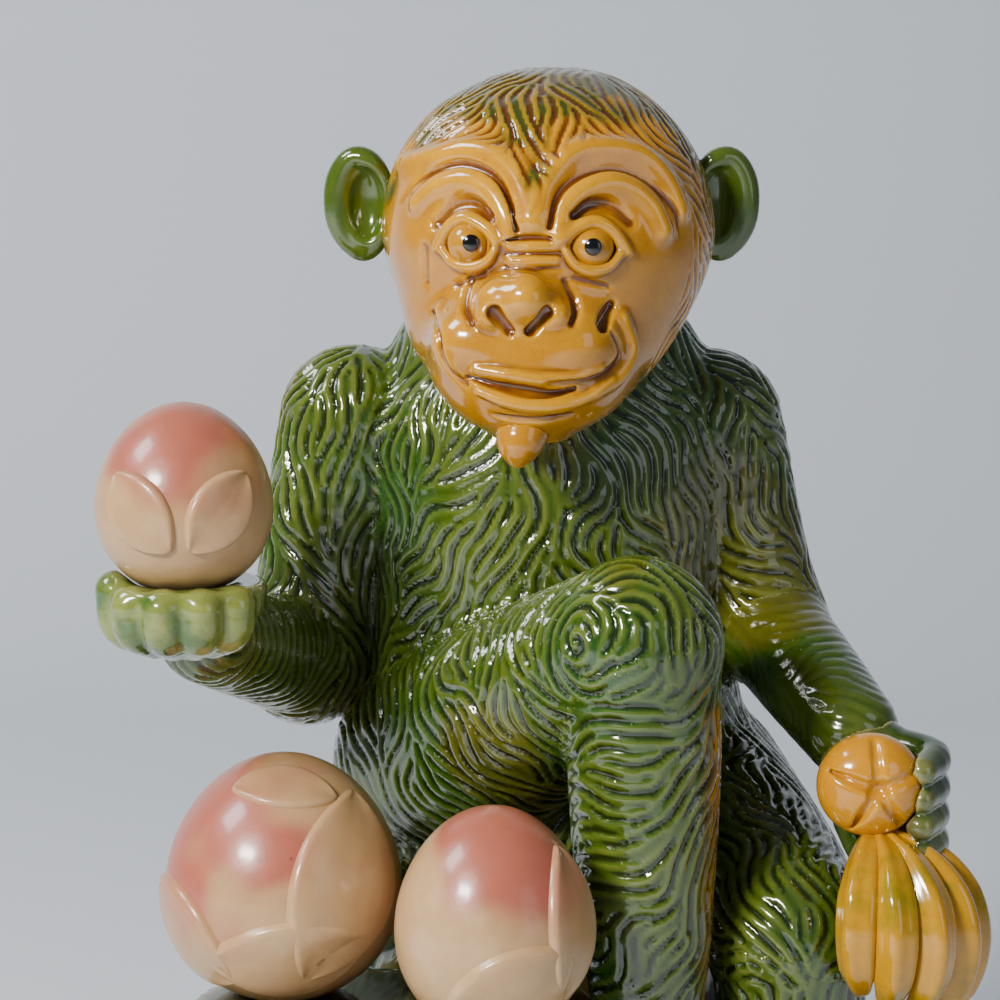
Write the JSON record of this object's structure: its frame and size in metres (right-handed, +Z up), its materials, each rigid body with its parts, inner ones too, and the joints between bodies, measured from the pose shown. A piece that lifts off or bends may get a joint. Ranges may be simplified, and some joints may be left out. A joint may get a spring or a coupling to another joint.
{
  "type": "monkey figurine",
  "caption": "Glazed ceramic figurine of a seated monkey that holds up a peach, with more peaches and a bunch of bananas on a rock base.",
  "frame": {"origin": "middle of the oval underside of the base", "axes": "+Z up, the monkey faces -Y, and its own right side is at -X"},
  "size_m": [0.24, 0.22, 0.3225],
  "materials": {
    "green_glaze": "gloss",
    "amber_glaze": "gloss",
    "peach_glaze": "gloss",
    "banana_glaze": "gloss",
    "rock_glaze": "gloss",
    "black_glaze": "gloss"
  },
  "bodies": {
    "root": {"foot_plinth": "rock_glaze", "rock_mound": "rock_glaze", "torso": "green_glaze", "head": "amber_glaze", "right_eyeball": "amber_glaze", "left_eyeball": "amber_glaze", "right_pupil": "black_glaze", "left_pupil": "black_glaze", "right_ear": "green_glaze", "left_ear": "green_glaze", "chin_tuft": "amber_glaze", "right_upper_arm": "green_glaze", "right_forearm": "green_glaze", "right_hand": "green_glaze", "left_upper_arm": "green_glaze", "left_forearm": "green_glaze", "left_hand": "green_glaze", "banana_crown": "banana_glaze", "right_thigh": "green_glaze", "right_shin": "green_glaze", "right_foot": "green_glaze", "left_thigh": "green_glaze", "left_shin": "green_glaze", "left_foot": "green_glaze", "tail": "green_glaze", "held_peach": "peach_glaze", "outer_peach": "peach_glaze", "inner_peach": "peach_glaze", "outer_peach_top_leaf": "peach_glaze", "outer_peach_side_leaf": "peach_glaze", "outer_peach_low_leaf": "peach_glaze", "outer_peach_back_leaf": "peach_glaze", "inner_peach_side_leaf": "peach_glaze", "inner_peach_low_leaf": "peach_glaze", "held_peach_left_leaf": "peach_glaze", "held_peach_right_leaf": "peach_glaze", "banana_1": "banana_glaze", "banana_2": "banana_glaze", "banana_3": "banana_glaze", "banana_4": "banana_glaze", "banana_5": "banana_glaze"}
  },
  "joints": []
}
